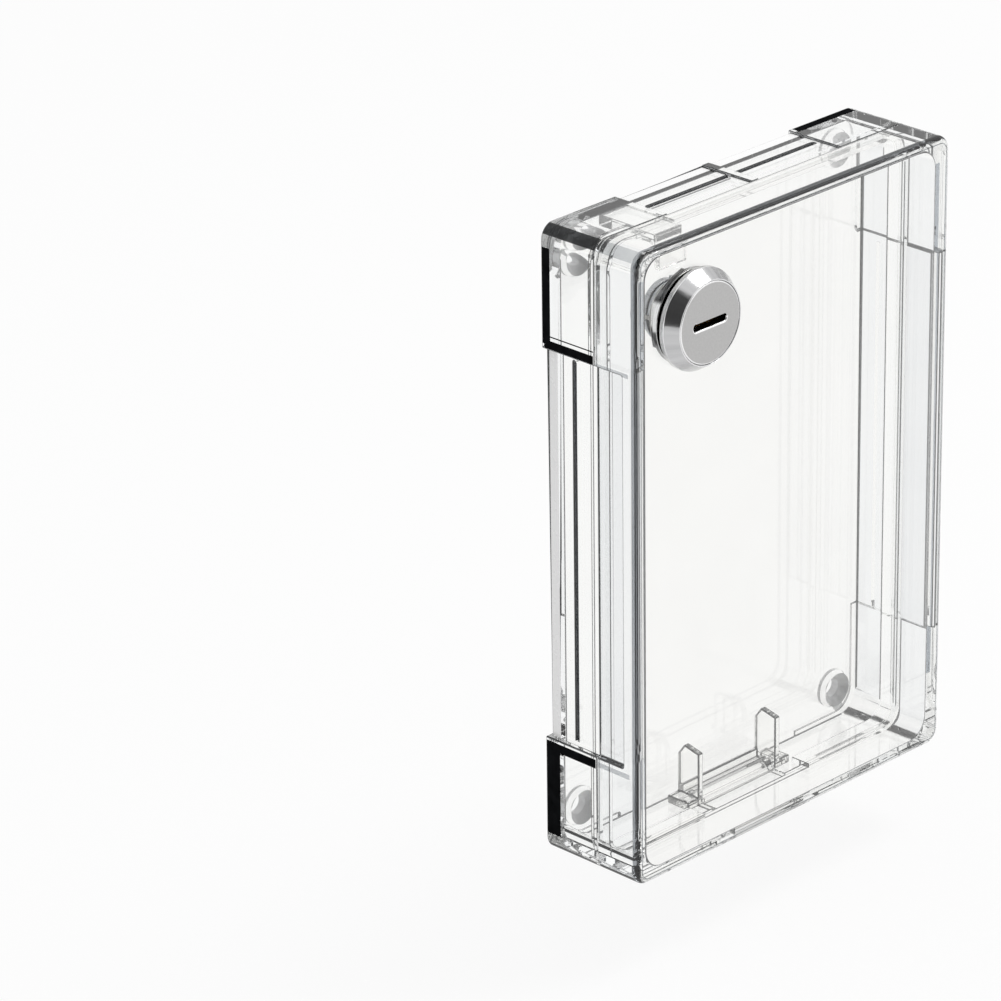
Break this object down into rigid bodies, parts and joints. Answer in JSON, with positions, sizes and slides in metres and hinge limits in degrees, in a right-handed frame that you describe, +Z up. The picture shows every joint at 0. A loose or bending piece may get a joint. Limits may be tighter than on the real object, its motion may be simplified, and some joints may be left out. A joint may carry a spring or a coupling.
{
  "type": "thermostat lock box",
  "caption": "Clear wall-mounted lock box for a thermostat: tray with vents, cover hinged at the bottom, and a cam lock.",
  "frame": {"origin": "centre of the wall-screw pattern, on the wall plane", "axes": "+Z up the wall, +X to the right when facing the front, -Y straight out of the wall towards the viewer"},
  "size_m": [0.102, 0.0325, 0.15],
  "materials": {
    "clear_plastic": "clear injection-moulded polycarbonate",
    "polished_zinc": "polished chrome plate on die-cast zinc",
    "satin_zinc": "satin brushed plate",
    "plated_steel": "zinc-plated steel",
    "brass": "stamped",
    "black_rubber": "matt"
  },
  "bodies": {
    "tray": {"base_shell": "clear_plastic", "hinge_bracket": "clear_plastic", "hinge_rod": "clear_plastic", "keeper": "clear_plastic"},
    "cover": {"cover_shell": "clear_plastic", "cover_hook": "clear_plastic", "lock_housing": "polished_zinc", "head_gasket": "black_rubber", "backing_washer": "polished_zinc", "lock_nut": "plated_steel"},
    "plug": {"lock_plug": "satin_zinc", "wafer_1": "brass", "wafer_2": "brass", "wafer_3": "brass", "wafer_4": "brass", "wafer_5": "brass", "wafer_springs": "plated_steel", "plug_clip": "plated_steel", "stop_washer": "plated_steel", "lock_cam": "plated_steel", "star_washer": "plated_steel", "cam_screw": "plated_steel"}
  },
  "joints": [
    {"name": "cover_hinge", "type": "hinge", "parent": "tray", "child": "cover", "pos_m": [0, -0.0096, -0.0724], "axis": [1, 0, 0], "range_deg": [0, 90]},
    {"name": "lock_turn", "type": "hinge", "parent": "cover", "child": "plug", "pos_m": [-0.0327, -0.02, 0.0558], "axis": [0, -1, 0], "range_deg": [0, 90]}
  ]
}
